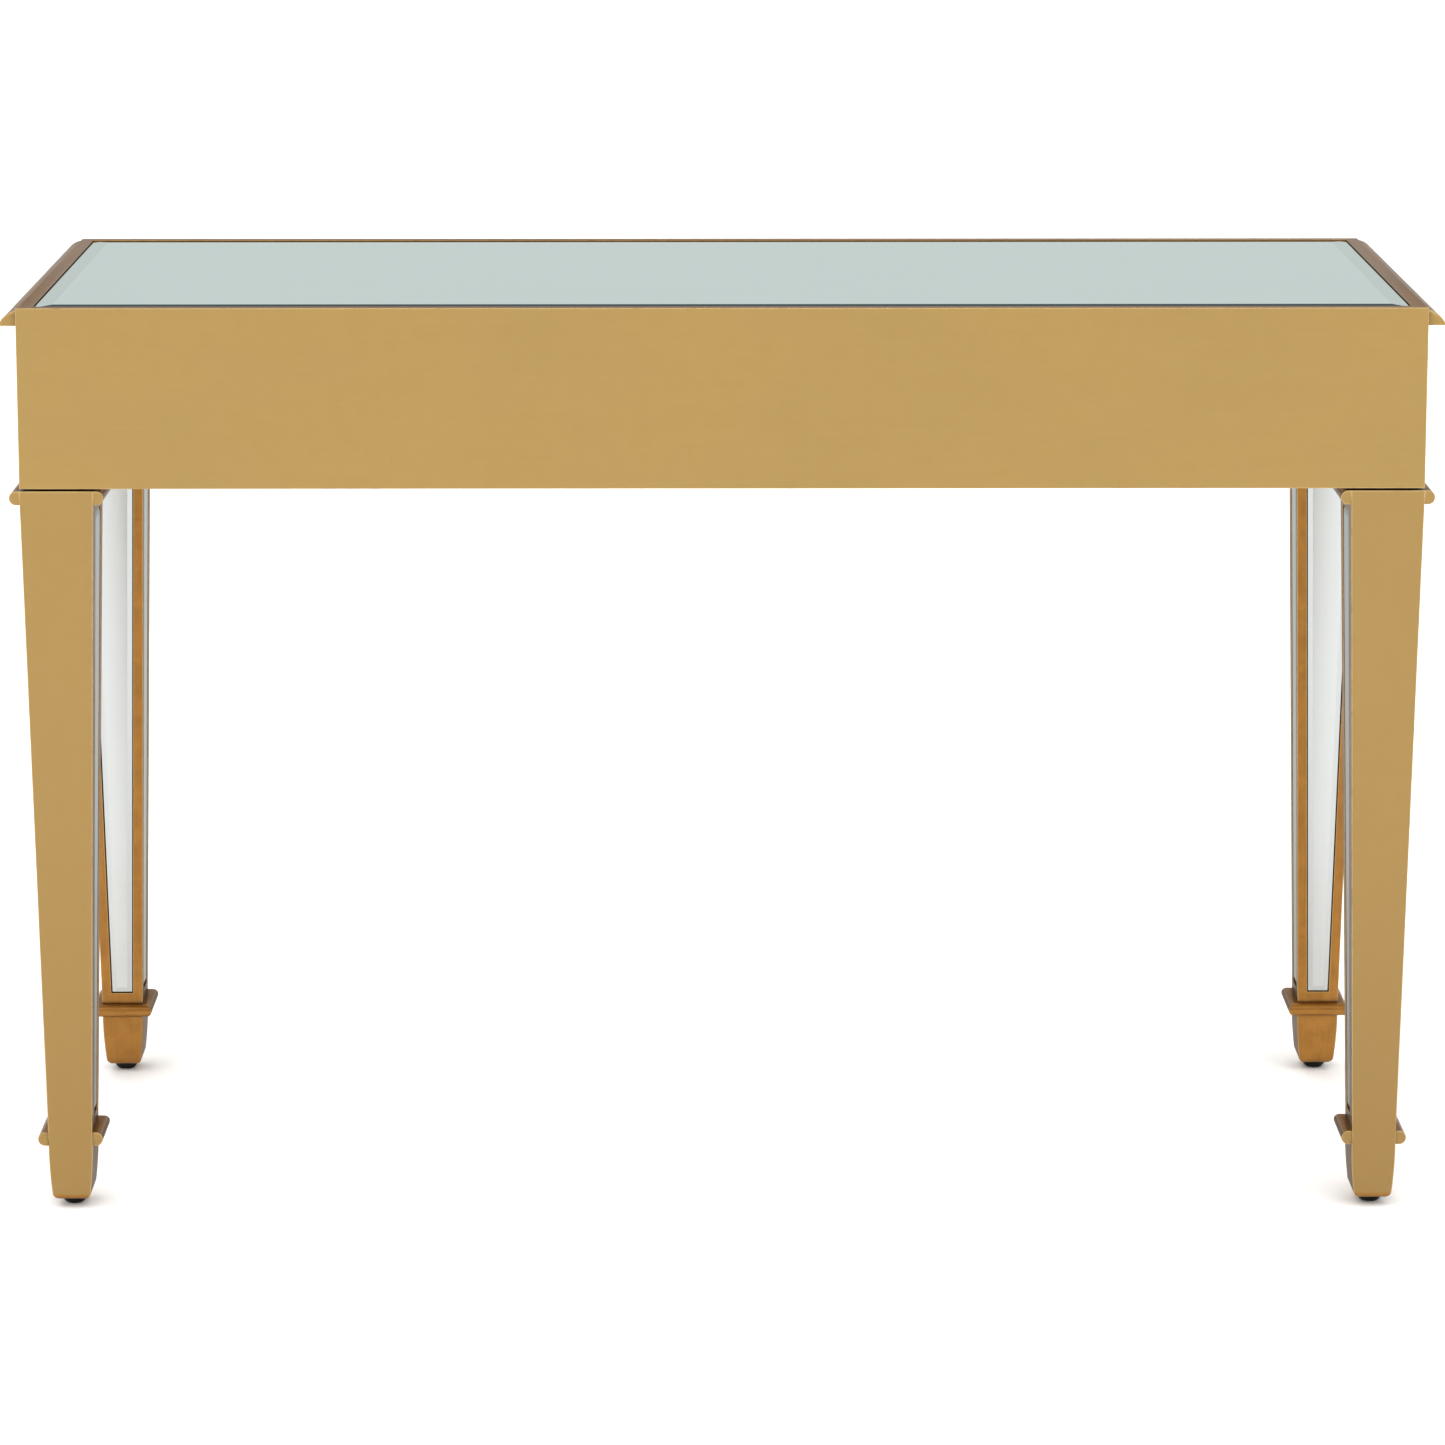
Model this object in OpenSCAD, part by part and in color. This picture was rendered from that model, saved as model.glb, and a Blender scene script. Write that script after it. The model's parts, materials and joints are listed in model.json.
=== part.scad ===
// Mirrored vanity table: a gold-painted carcass with two drawers, a bevelled mirror top
// and four tapered legs with mirror panels let into their faces.
// The front faces -Y, the back is flat for a wall, and Z = 0 is the floor.
// The origin is the bottom centre of the box round the table, knobs included.

/* [Overall] */
// Width of the top, from tip to tip of its nosing
top_w = 1219; // [1020:1:1470]
// Depth of the top, from the flat back to the nosing's tip
top_d = 508; // [430:1:600]
// Height from the floor to the top rim
table_h = 787; // [650:1:950]
// Height of the apron with the top rim
apron_h = 154; // [140:1:190]

/* [Top] */
// How far the nosing stands out past the apron
nosing_out = 14.5; // [10:0.5:20]
// Thickness of the nosing and the rim
nosing_h = 15; // [12.5:0.5:20]
// Radius of the nosing's curve
nosing_r = 22; // [16:1:40]
// How far inside the apron's side the curve starts
curve_in = 1.7; // [1:0.1:4]
// Step between the flat rim and the curve
rim_step = 1.5; // [0.5:0.1:3]
// Width of the flat rim round the mirror
rim_w = 11.6; // [8:0.1:16]
// Thickness of the top mirror
top_glass_t = 5; // [4:0.5:8]
// Width of the top mirror's bevel
top_bevel_w = 14; // [8:1:25]
// How much thinner the edge of that bevel is than the plate
top_bevel_drop = 1; // [0.5:0.1:2]
// How far the top mirror lies below the rim
top_glass_low = 0.2; // [0.1:0.1:1]
// Gap between the top mirror and the rim
top_glass_gap = 1.2; // [0.5:0.1:2]

/* [Carcass] */
// Thickness of the back panel
back_t = 12; // [9:1:18]
// Thickness of the side panels, centre partition and front rails
board_t = 18; // [15:1:25]
// Height of each front rail
rail_h = 18; // [14:1:23]
// Length of a corner block's side
block_l = 60; // [48:1:75]

/* [Mirror panels] */
// Thickness of the mirror panels
glass_t = 3; // [2:0.5:4]
// How far a panel's face lies below the wood round it
glass_low = 0.5; // [0.2:0.1:1.2]
// Gap between a panel and the side of its recess
glass_gap = 1.1; // [0.5:0.1:1.5]
// Width of the wood round a panel on the carcass and drawers
panel_margin = 10; // [8:1:16]
// Width of the bevel on the carcass and drawer panels
panel_bevel_w = 12; // [8:1:20]
// How much thinner a bevelled edge is than the plate
bevel_drop = 0.9; // [0.5:0.1:1.4]

/* [Legs] */
// Width of a leg at the top
leg_w = 62; // [52:1:75]
// Depth of a front leg at the top
front_leg_d = 70; // [58:1:82]
// Depth of a rear leg at the top, with its back board
rear_leg_d = 79; // [66:1:92]
// Width of a leg at the bottom of its shaft
ankle_w = 38; // [34:1:46]
// Depth of a leg at the bottom of its shaft
ankle_d = 50; // [42:1:58]
// Thickness of the flat board down the back of a rear leg
leg_board_t = 9; // [7:0.5:11]
// Width of the wood beside the mirror in the front or back of a leg
leg_margin = 9; // [7:0.5:10]
// Width of the wood beside the mirror in the side of a leg, at the top of the shaft
side_margin = 13; // [9:0.5:15]
// The same at the bottom of the shaft
ankle_margin = 8; // [7:0.5:8.5]
// Height of the wood above and below a leg's mirror
leg_end_margin = 10; // [8:0.5:14]
// Width of the bevel on a leg's mirror
leg_bevel_w = 4.5; // [2:0.5:5]
// Thickness of both collars
collar_h = 12; // [8:1:16]
// How far the collars stand out
collar_out = 9; // [7:0.5:12]
// Height of the foot below the lower collar
foot_h = 49; // [40:1:60]
// How much each side of the foot draws in at its bottom
foot_draw = 2.5; // [1:0.5:4]
// Radius of the foot's bottom edges
foot_r = 7; // [4:0.5:9]
// Height of a glide below the foot
glide_h = 8; // [5:0.5:10]
// Diameter of a glide
glide_d = 22; // [16:1:24]
// Thickness of the washer between a leg and the carcass
washer_t = 2; // [1:0.5:3]
// Diameter of that washer
washer_d = 36; // [30:1:44]
// Diameter of the leg bolt
bolt_d = 8; // [6:1:10]
// Diameter of the threaded insert that the bolt screws into
insert_d = 12; // [10:1:14]
// How deep the bolt goes into the shaft
bolt_in = 45; // [35:1:60]

/* [Drawers] */
// Gap round a drawer front
reveal = 2; // [1:0.5:3]
// Thickness of the drawer box's sides and back
box_t = 12; // [10:1:15]
// Height of the drawer box
box_h = 80; // [66:1:82]
// Space between a drawer box and the corner blocks under it
box_lift = 4; // [3:1:8]
// Space between the drawer box and the back panel
rear_space = 63.5; // [40:0.5:80]
// Thickness of the drawer bottom
bottom_t = 4; // [3:0.5:6]
// How far up the box its bottom lies
bottom_up = 8; // [6:1:12]
// Depth of the grooves that hold the bottom
groove = 5; // [4:0.5:6]
// Play between the bottom and its grooves
groove_play = 0.2; // [0.1:0.05:0.5]

/* [Slides] */
// Width of the space that a slide takes beside the box
slide_gap = 12.7; // [12:0.1:14]
// Height of a slide
slide_h = 35; // [32:1:42]
// Thickness of the slide's steel
steel_t = 1.2; // [1:0.1:1.5]
// Depth of the channels that run past each other
channel_d = 9.5; // [9:0.1:10]
// Diameter of the bearing balls
ball_d = 4; // [3:0.1:5]
// Play on each side of a ball
ball_play = 0.1; // [0.05:0.05:0.2]
// Length of a ball cage
cage_l = 90; // [75:1:110]
// Balls in each race
race_balls = 5; // [3:1:6]
// How far a slide stops short of the box's ends
slide_short = 2.5; // [1:0.5:6]
// Diameter of the slide screws
screw_d = 3.5; // [3:0.5:4]
// Length of the slide screws in the wood
screw_l = 10; // [8:1:10]
// How far those screws are from a slide's ends
screw_in = 35; // [28:1:42]

/* [Knobs] */
// How far a knob stands out from the drawer front
knob_out = 28; // [22:1:34]
// Diameter of the crystal
knob_d = 30; // [24:1:36]
// Diameter of the metal base
knob_base_d = 20; // [16:1:24]
// Height of the metal base
knob_base_h = 8; // [6:1:10]
// Diameter of the knob's screw
knob_screw_d = 4; // [3:0.5:5]
// Diameter of that screw's head
knob_head_d = 9; // [7:0.5:11]

/* [Hidden] */
$fn = 48;
eps = 1;                 // how far a cutter runs past the face it opens
hole_play = 0.1;         // radial play of a screw or bolt in its hole
arc_steps = 12;          // straight steps in a moulding's curve
foot_steps = 6;          // straight steps in each curve of a foot
reach = 100;             // half the length of a cutter or outline that is longer than a leg is wide
left = -1;
right = 1;

gold = "darkgoldenrod";
mirror_tint = "lightcyan";
timber = "burlywood";
steel = "silver";

// Levels from the floor up
foot_z = glide_h;
low_collar_z = foot_z + foot_h;
shaft_z = low_collar_z + collar_h;
apron_z = table_h - apron_h;
collar_z = apron_z - washer_t - collar_h;
shaft_l = collar_z - shaft_z;
rim_z = table_h - nosing_h;
carcass_h = rim_z - apron_z;

// Places in plan
apron_w = top_w - 2 * nosing_out;
carcass_d = top_d - nosing_out;
y_back = (carcass_d + knob_out) / 2;
y_front = y_back - carcass_d;
y_panel = y_back - back_t;               // inner face of the back panel
x_side = apron_w / 2;                    // outer face of a side panel
x_inner = x_side - board_t;              // inner face of a side panel
x_part = board_t / 2;                    // face of the centre partition
rim_in = rim_w + curve_in;               // from the apron's side to the mirror's recess
leg_x = x_side - leg_w / 2;
pocket = glass_t + glass_low;

// Drawer opening, front and box, for the drawer on the +X side
open_z = apron_z + rail_h;
open_h = carcass_h - 2 * rail_h;
open_mid = (x_part + x_inner) / 2;
open_w = x_inner - x_part;
front_w = open_w - 2 * reveal;
front_h = open_h - 2 * reveal;
front_z = open_z + reveal;
box_y = y_front + board_t;               // front end of the box
box_l = carcass_d - board_t - back_t - rear_space;
box_w = open_w - 2 * slide_gap;
box_z = open_z + box_lift;
box_x0 = open_mid - box_w / 2;
box_x1 = open_mid + box_w / 2;
bottom_z = box_z + bottom_up;
slide_z = box_z + box_h / 2;
slide_l = box_l - 2 * slide_short;
slide_y = box_y + slide_short;
travel = slide_l - cage_l - 2 * slide_short;
runner_h = slide_h - 2 * (steel_t + ball_d + 2 * ball_play);
ball_z = slide_h / 2 - steel_t - ball_play - ball_d / 2;
cage_t = 0.8;                            // thickness of a cage's sheet
cage_y = slide_y + travel / 2 + slide_short;
cage_u = (steel_t + slide_gap - channel_d - cage_t) / 2;
stagger = 12;                            // keeps the screws from meeting in the partition
knob_z = front_z + front_h / 2;

// ---------- Outlines ----------

// Points along an arc of radius r from p to q, bulging to the left of that direction
function arc(p, q, r) =
    let (mid = (p + q) / 2,
         half = norm(q - p) / 2,
         ahead = (q - p) / (2 * half),
         centre = mid - [-ahead[1], ahead[0]] * sqrt(r * r - half * half),
         a0 = atan2(p[1] - centre[1], p[0] - centre[0]),
         a1 = atan2(q[1] - centre[1], q[0] - centre[0]))
    [for (i = [0 : arc_steps]) let (a = a0 + (a1 - a0) * i / arc_steps) centre + r * [cos(a), sin(a)]];

// Section of the top moulding: 0 is the apron's side and the moulding's underside
tip_h = 1.2;
function moulding_section() = concat(
    [[nosing_out - tip_h / 2, 0], [-rim_in, 0], [-rim_in, nosing_h], [-curve_in, nosing_h]],
    arc([-curve_in, nosing_h - rim_step], [nosing_out, tip_h], nosing_r));

// Section of a plate with bevels at both ends of its upper face
function plate_section(w, t, bevel, drop) = [
    [-w / 2, 0], [w / 2, 0], [w / 2, t - drop],
    [w / 2 - bevel, t], [bevel - w / 2, t], [-w / 2, t - drop]];

// One edge of a foot from its bottom up: how far it lies inside the ankle, and its height
function foot_edge(draw) = concat(
    [for (i = [0 : foot_steps]) let (a = 90 * i / foot_steps)
        [draw + foot_r * (1 - sin(a)), foot_r * (1 - cos(a))]],
    [for (i = [1 : foot_steps]) let (k = i / foot_steps)
        [draw * pow(1 - k, 2), foot_r + (foot_h - foot_r) * k]]);

// A foot's outline between two sides, the second with its own draw
module foot_outline(low, high, high_draw) {
    up = foot_edge(foot_draw);
    down = foot_edge(high_draw);
    last = len(down) - 1;
    translate([0, foot_z])
        polygon(concat(
            [for (p = up) [low + p[0], p[1]]],
            [for (i = [0 : last]) [high - down[last - i][0], down[last - i][1]]]));
}

// A collar's section between two tips, rounded at the low tip and, if asked, at the high one
module collar_section(low, high, round_high) {
    r = collar_h / 2;
    square_end = round_high ? high - r : high;
    translate([low + r, 0]) square([square_end - low - r, collar_h]);
    translate([low + r, r]) circle(r);
    if (round_high) translate([high - r, r]) circle(r);
}

// A steel channel's section, open towards +X
module channel_section(h) difference() {
    translate([0, -h / 2]) square([channel_d, h]);
    translate([steel_t, steel_t - h / 2]) square([channel_d, h - 2 * steel_t]);
}

// ---------- Building and placing ----------

// Carries an outline drawn in X and Z along Y
module along_y(y0, y1) translate([0, y1, 0]) rotate([90, 0, 0]) linear_extrude(y1 - y0) children();

// Carries an outline drawn in Y and Z along X
module along_x(x0, x1) translate([x0, 0, 0]) rotate([90, 0, 90]) linear_extrude(x1 - x0) children();

// A box between two corners
module block(low, high) translate(low) cube(high - low);

// Mirrors what is built on the right to the left
module sided(side) if (side == left) mirror([1, 0, 0]) children(); else children();

// A rectangular plate, bevelled all round its upper face, centred and standing on Z = 0
module bevel_plate(w, l, t, bevel, drop) intersection() {
    along_y(-l / 2, l / 2) polygon(plate_section(w, t, bevel, drop));
    along_x(-w / 2, w / 2) polygon(plate_section(l, t, bevel, drop));
}

// ---------- Top ----------

mirror_y0 = y_front + rim_in;
top_glass_z = table_h - top_glass_low - top_glass_t;

module top_mirror() color(mirror_tint)
    translate([0, (mirror_y0 + y_panel) / 2, top_glass_z])
        bevel_plate(2 * (x_side - rim_in - top_glass_gap), y_panel - mirror_y0 - 2 * top_glass_gap,
                    top_glass_t, top_bevel_w, top_bevel_drop);

module top_board() color(timber)
    block([rim_in - x_side, mirror_y0, rim_z], [x_side - rim_in, y_panel, top_glass_z]);

// Everything between the mitres of the front moulding
module between_mitres() {
    a = 2 * (nosing_out + rim_in);
    translate([0, y_front, rim_z - eps])
        linear_extrude(nosing_h + 2 * eps)
            polygon([[-x_side - a, -a], [x_side + a, -a], [x_side - a, a], [a - x_side, a]]);
}

module top_moulding_front() color(gold) intersection() {
    along_x(-x_side - nosing_out, x_side + nosing_out)
        translate([y_front, rim_z]) mirror([1, 0]) polygon(moulding_section());
    between_mitres();
}

module top_moulding_side(side) color(gold) sided(side) difference() {
    along_y(y_front - nosing_out, y_back) translate([x_side, rim_z]) polygon(moulding_section());
    between_mitres();
    block([0, y_panel, rim_z - eps], [x_side, y_back + eps, table_h + eps]);
}

// ---------- Carcass ----------

module back_panel() color(gold)
    block([-x_side, y_panel, apron_z], [x_side, y_back, table_h]);

// Size of a side panel's recess, and its middle
side_pocket_l = y_panel - y_front - 2 * panel_margin;
side_pocket_h = carcass_h - 2 * panel_margin;
side_mid = [x_side, (y_front + y_panel) / 2, apron_z + carcass_h / 2];

module on_side_panel() translate(side_mid) rotate([90, 0, 90]) translate([0, 0, -pocket]) children();

module side_panel(side) color(gold) sided(side) difference() {
    block([x_inner, y_front, apron_z], [x_side, y_panel, rim_z]);
    on_side_panel()
        translate([-side_pocket_l / 2, -side_pocket_h / 2, 0])
            cube([side_pocket_l, side_pocket_h, pocket + eps]);
    translate([x_inner, 0, slide_z]) mirror([1, 0, 0]) slide_screws(side, hole_play);
}

module side_mirror(side) color(mirror_tint) sided(side) on_side_panel()
    bevel_plate(side_pocket_l - 2 * glass_gap, side_pocket_h - 2 * glass_gap,
                glass_t, panel_bevel_w, bevel_drop);

module front_rail(z) color(gold)
    block([-x_inner, y_front, z], [x_inner, y_front + board_t, z + rail_h]);

module front_rail_top() front_rail(rim_z - rail_h);

module front_rail_bottom() front_rail(apron_z);

module centre_partition() color(gold) difference() {
    block([-x_part, y_front, apron_z], [x_part, y_panel, rim_z]);
    for (z = [apron_z, rim_z - rail_h])
        block([-x_part - eps, y_front - eps, z - (z == apron_z ? eps : 0)],
              [x_part + eps, y_front + board_t, z + rail_h + (z == apron_z ? 0 : eps)]);
    for (side = [left, right])
        sided(side) translate([x_part, 0, slide_z]) slide_screws(side, hole_play);
}

// A block in the corner at the origin, reaching towards +X and +Y
module corner_block(bolt_at) difference() {
    linear_extrude(rail_h)
        polygon([[0, 0], [block_l, 0], [block_l, block_l / 3], [block_l / 3, block_l], [0, block_l]]);
    translate([bolt_at[0], bolt_at[1], -eps]) cylinder(d = insert_d, h = rail_h + 2 * eps);
}

module corner_blocks() color(timber)
    for (side = [left, right]) sided(side) {
        translate([x_inner, y_front + board_t, apron_z]) mirror([1, 0, 0])
            corner_block([x_inner - leg_x, bolt_y(false) - y_front - board_t]);
        translate([x_inner, y_panel, apron_z]) mirror([1, 0, 0]) mirror([0, 1, 0])
            corner_block([x_inner - leg_x, y_panel - bolt_y(true)]);
    }

// ---------- Legs ----------

// A leg's local origin is its middle in X, and in Y the middle of a front leg or the back of a rear one
function leg_y(rear) = rear ? y_back : y_front + front_leg_d / 2;
module at_leg(side, rear) translate([side * leg_x, leg_y(rear), 0]) children();

// Where a leg's bolt stands in Y
function bolt_y(rear) = rear ? y_back - (rear_leg_d + leg_board_t) / 2 : leg_y(false);
module at_bolts() for (side = [left, right], rear = [false, true])
    translate([side * leg_x, bolt_y(rear), 0]) children();

// The shaft's sides at its bottom and its top
half_w = [ankle_w, leg_w] / 2;
function shaft_low(rear) = rear ? -[ankle_d, rear_leg_d] : -[ankle_d, front_leg_d] / 2;
function shaft_high(rear) = rear ? -[leg_board_t, leg_board_t] : [ankle_d, front_leg_d] / 2;

// Each mirrored face: its turn about Z, how far out it lies, and the low and high sides of its recess
function shaft_faces(rear) =
    let (low = shaft_low(rear) + [ankle_margin, side_margin],
         high = shaft_high(rear) - [ankle_margin, side_margin],
         across = half_w - [leg_margin, leg_margin])
    concat([[0, half_w, low, high], [180, half_w, -high, -low], [-90, -shaft_low(rear), -across, across]],
           rear ? [] : [[90, shaft_high(rear), -across, across]]);

// Lays what is drawn in X and Y on the floor of a face's recess, Y pointing up the leg
module on_face(face) {
    lean = atan((face[1][1] - face[1][0]) / shaft_l);
    rotate([0, 0, face[0]]) translate([face[1][0], 0, shaft_z]) rotate([0, lean, 0])
        rotate([90, 0, 90]) translate([0, 0, -pocket]) children();
}

// A side's place at a height up the shaft
function side_at(ends, z) = ends[0] + (ends[1] - ends[0]) * z / shaft_l;

// The outline of a face's recess, drawn in by an inset
module strip(face, inset) {
    z0 = leg_end_margin + inset;
    z1 = shaft_l - leg_end_margin - inset;
    polygon([[side_at(face[2], z0) + inset, z0], [side_at(face[3], z0) - inset, z0],
             [side_at(face[3], z1) - inset, z1], [side_at(face[2], z1) + inset, z1]]);
}

module leg_shaft(side, rear) color(gold) at_leg(side, rear) difference() {
    low = shaft_low(rear);
    high = shaft_high(rear);
    intersection() {
        along_y(-reach, reach)
            polygon([[-half_w[0], shaft_z], [half_w[0], shaft_z],
                     [half_w[1], collar_z], [-half_w[1], collar_z]]);
        along_x(-reach, reach)
            polygon([[low[0], shaft_z], [high[0], shaft_z], [high[1], collar_z], [low[1], collar_z]]);
    }
    for (face = shaft_faces(rear))
        on_face(face) linear_extrude(pocket + 2 * eps) strip(face, 0);
    translate([0, bolt_y(rear) - leg_y(rear), collar_z - bolt_in]) cylinder(d = bolt_d, h = bolt_in + eps);
}

module leg_mirrors(side, rear) color(mirror_tint) at_leg(side, rear)
    for (face = shaft_faces(rear))
        on_face(face) hull() {
            linear_extrude(glass_t - bevel_drop) strip(face, glass_gap);
            linear_extrude(glass_t) strip(face, glass_gap + leg_bevel_w);
        }

// A collar round a leg that is w wide and d deep; a rear one is flush with the back
module collar(w, d, rear) intersection() {
    along_y(-reach, reach) collar_section(-w / 2 - collar_out, w / 2 + collar_out, true);
    along_x(-reach, reach)
        collar_section((rear ? -d : -d / 2) - collar_out, rear ? 0 : d / 2 + collar_out, !rear);
}

module leg_collar(side, rear) color(gold) at_leg(side, rear) difference() {
    union() {
        translate([0, 0, low_collar_z]) collar(ankle_w, ankle_d, rear);
        translate([0, 0, collar_z]) collar(leg_w, rear ? rear_leg_d : front_leg_d, rear);
    }
    if (rear) back_board_solid();
    translate([0, bolt_y(rear) - leg_y(rear), collar_z - eps])
        cylinder(d = bolt_d + 2 * hole_play, h = collar_h + 2 * eps);
}

// The foot with its rounded bottom edges; a rear one has an upright back
module foot_solid(rear) intersection() {
    along_y(-reach, reach) foot_outline(-ankle_w / 2, ankle_w / 2, foot_draw);
    along_x(-reach, reach)
        foot_outline(rear ? -ankle_d : -ankle_d / 2, rear ? 0 : ankle_d / 2, rear ? 0 : foot_draw);
}

module leg_foot(side, rear) color(gold) at_leg(side, rear) difference() {
    foot_solid(rear);
    if (rear) back_board_solid();
    translate([0, rear ? -ankle_d / 2 : 0, foot_z - eps]) cylinder(d = glide_nail_d, h = glide_nail_l + eps);
}

// The flat board down a rear leg's back, which the shaft, the collars and the foot are glued to
module back_board_solid() union() {
    along_y(-leg_board_t, 0)
        polygon([[-half_w[0], low_collar_z], [half_w[0], low_collar_z], [half_w[0], shaft_z],
                 [half_w[1], collar_z], [half_w[1], collar_z + collar_h],
                 [-half_w[1], collar_z + collar_h], [-half_w[1], collar_z], [-half_w[0], shaft_z]]);
    intersection() {
        foot_solid(true);
        block([-reach, -leg_board_t, foot_z], [reach, 0, low_collar_z]);
    }
}

module leg_back_board(side) color(gold) at_leg(side, true) back_board_solid();

module leg_bolts() color(steel) at_bolts()
    translate([0, 0, collar_z - bolt_in])
        cylinder(d = bolt_d, h = apron_z + rail_h - eps - (collar_z - bolt_in));

module leg_bolt_inserts() color("goldenrod") at_bolts()
    translate([0, 0, apron_z]) difference() {
        cylinder(d = insert_d, h = rail_h);
        translate([0, 0, -eps]) cylinder(d = bolt_d + 2 * hole_play, h = rail_h + 2 * eps);
    }

module leg_washers() color("dimgray") at_bolts()
    translate([0, 0, apron_z - washer_t]) difference() {
        cylinder(d = washer_d, h = washer_t);
        translate([0, 0, -eps]) cylinder(d = bolt_d + 2 * hole_play, h = washer_t + 2 * eps);
    }

// A glide: a low dome with a flat underside, and the nail that holds it
glide_nail_d = 3;
glide_nail_l = 14;
glide_flat_d = glide_d / 2;
module floor_glides() color("black")
    for (side = [left, right], rear = [false, true])
        at_leg(side, rear) translate([0, rear ? -ankle_d / 2 : 0, 0]) {
            rotate_extrude() polygon(concat(
                [[0, glide_h], [0, 0]],
                [for (i = [0 : foot_steps]) let (a = 90 * i / foot_steps)
                    [(glide_flat_d + (glide_d - glide_flat_d) * sin(a)) / 2, glide_h * (1 - cos(a))]]));
            translate([0, 0, glide_h - eps]) cylinder(d = glide_nail_d, h = glide_nail_l + eps);
        }

// ---------- Slides ----------

// Places what is built on the partition's face at both slides of the drawer on one side
module at_slides(side) sided(side) {
    translate([x_part, 0, slide_z]) children();
    translate([x_inner, 0, slide_z]) mirror([1, 0, 0]) children();
}

// The other face of the slide's space, looking back
module across_slide() translate([slide_gap, 0, 0]) mirror([1, 0, 0]) children();

// The countersunk screws through a channel's web into the wood at X < 0, grown by play for their holes
module slide_screws(side, play = 0) {
    shift = side == left ? stagger : 0;
    for (y = [slide_y + screw_in, slide_y + slide_l - screw_in - stagger])
        translate([steel_t, y + shift, 0]) rotate([0, -90, 0]) {
            cylinder(d1 = screw_d + 2 * (steel_t + play), d2 = screw_d + 2 * play, h = steel_t);
            cylinder(d = screw_d + 2 * play, h = steel_t + screw_l - screw_d / 2);
            translate([0, 0, steel_t + screw_l - screw_d / 2])
                cylinder(d1 = screw_d + 2 * play, d2 = 1 + 2 * play, h = screw_d / 2 + play);
        }
}

module slide_rail(side, h) difference() {
    along_y(slide_y, slide_y + slide_l) channel_section(h);
    slide_screws(side, hole_play);
}

module slide_rails() color(steel)
    for (side = [left, right]) at_slides(side) slide_rail(side, slide_h);

module slide_rail_screws() color("gray")
    for (side = [left, right]) at_slides(side) slide_screws(side);

module ball_cages(side) color("gray") at_slides(side) {
    pitch = cage_l / race_balls;
    difference() {
        along_y(cage_y, cage_y + cage_l) difference() {
            translate([cage_u, -ball_z - cage_t / 2]) square([channel_d - cage_u, 2 * ball_z + cage_t]);
            translate([cage_u + cage_t, cage_t / 2 - ball_z]) square([channel_d, 2 * ball_z - cage_t]);
        }
        for (i = [0 : race_balls - 1])
            translate([slide_gap / 2, cage_y + pitch * (i + 0.5), 0])
                cylinder(d = ball_d + 2 * ball_play, h = slide_h, center = true);
    }
    for (i = [0 : race_balls - 1], z = [-ball_z, ball_z])
        translate([slide_gap / 2, cage_y + pitch * (i + 0.5), z]) sphere(d = ball_d);
}

module drawer_runners(side) color(steel) at_slides(side) across_slide() slide_rail(side, runner_h);

// ---------- Drawers ----------

drawer_pocket_w = front_w - 2 * panel_margin;
drawer_pocket_h = front_h - 2 * panel_margin;

// Lays what is drawn in X and Y on the floor of the drawer front's recess, facing the front
module on_drawer(side) sided(side)
    translate([open_mid, y_front, knob_z]) rotate([90, 0, 0]) translate([0, 0, -pocket]) children();

// The slot that a drawer's bottom lies in
module bottom_slot() block(
    [box_x0 + box_t - groove, box_y - groove, bottom_z],
    [box_x1 - box_t + groove, box_y + box_l + eps, bottom_z + bottom_t + groove_play]);

module drawer_front(side) color(gold) {
    difference() {
        sided(side) block([x_part + reveal, y_front, front_z], [x_inner - reveal, box_y, front_z + front_h]);
        on_drawer(side)
            translate([-drawer_pocket_w / 2, -drawer_pocket_h / 2, 0])
                cube([drawer_pocket_w, drawer_pocket_h, pocket + eps]);
        on_drawer(side) cylinder(d = knob_screw_d + 2 * hole_play, h = 3 * board_t, center = true);
        sided(side) bottom_slot();
    }
}

module drawer_mirror(side) color(mirror_tint) on_drawer(side) difference() {
    bevel_plate(drawer_pocket_w - 2 * glass_gap, drawer_pocket_h - 2 * glass_gap,
                glass_t, panel_bevel_w, bevel_drop);
    translate([0, 0, -eps]) cylinder(d = knob_screw_d + 2 * hole_play, h = glass_t + 2 * eps);
}

module drawer_side(side, x) color(timber) difference() {
    sided(side) block([x, box_y, box_z], [x + box_t, box_y + box_l, box_z + box_h]);
    sided(side) bottom_slot();
    at_slides(side) across_slide() slide_screws(side, hole_play);
}

module drawer_side_outer(side) drawer_side(side, box_x1 - box_t);

module drawer_side_inner(side) drawer_side(side, box_x0);

module drawer_back(side) color(timber) sided(side) block(
    [box_x0 + box_t, box_y + box_l - box_t, bottom_z + bottom_t],
    [box_x1 - box_t, box_y + box_l, box_z + box_h]);

module drawer_bottom(side) color(timber) sided(side) block(
    [box_x0 + box_t - groove + groove_play, box_y - groove + groove_play, bottom_z],
    [box_x1 - box_t + groove - groove_play, box_y + box_l, bottom_z + bottom_t]);

// The screws of a drawer's runners, and the screw that holds its knob from inside
module drawer_screws(side) color("gray") {
    at_slides(side) across_slide() slide_screws(side);
    on_drawer(side) translate([0, 0, pocket - board_t]) {
        cylinder(d = knob_screw_d, h = board_t - glass_low + knob_base_h / 2);
        translate([0, 0, -knob_screw_d / 2]) cylinder(d = knob_head_d, h = knob_screw_d / 2);
    }
}

module knob_base(side) color("goldenrod") on_drawer(side) translate([0, 0, glass_t]) difference() {
    rotate_extrude() polygon([
        [0, 0], [knob_base_d / 2, 0], [knob_base_d / 2, knob_base_h / 4],
        [knob_base_d / 4, knob_base_h / 2], [knob_base_d / 3, knob_base_h], [0, knob_base_h]]);
    translate([0, 0, -eps]) cylinder(d = knob_screw_d, h = knob_base_h / 2 + eps);
}

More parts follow.
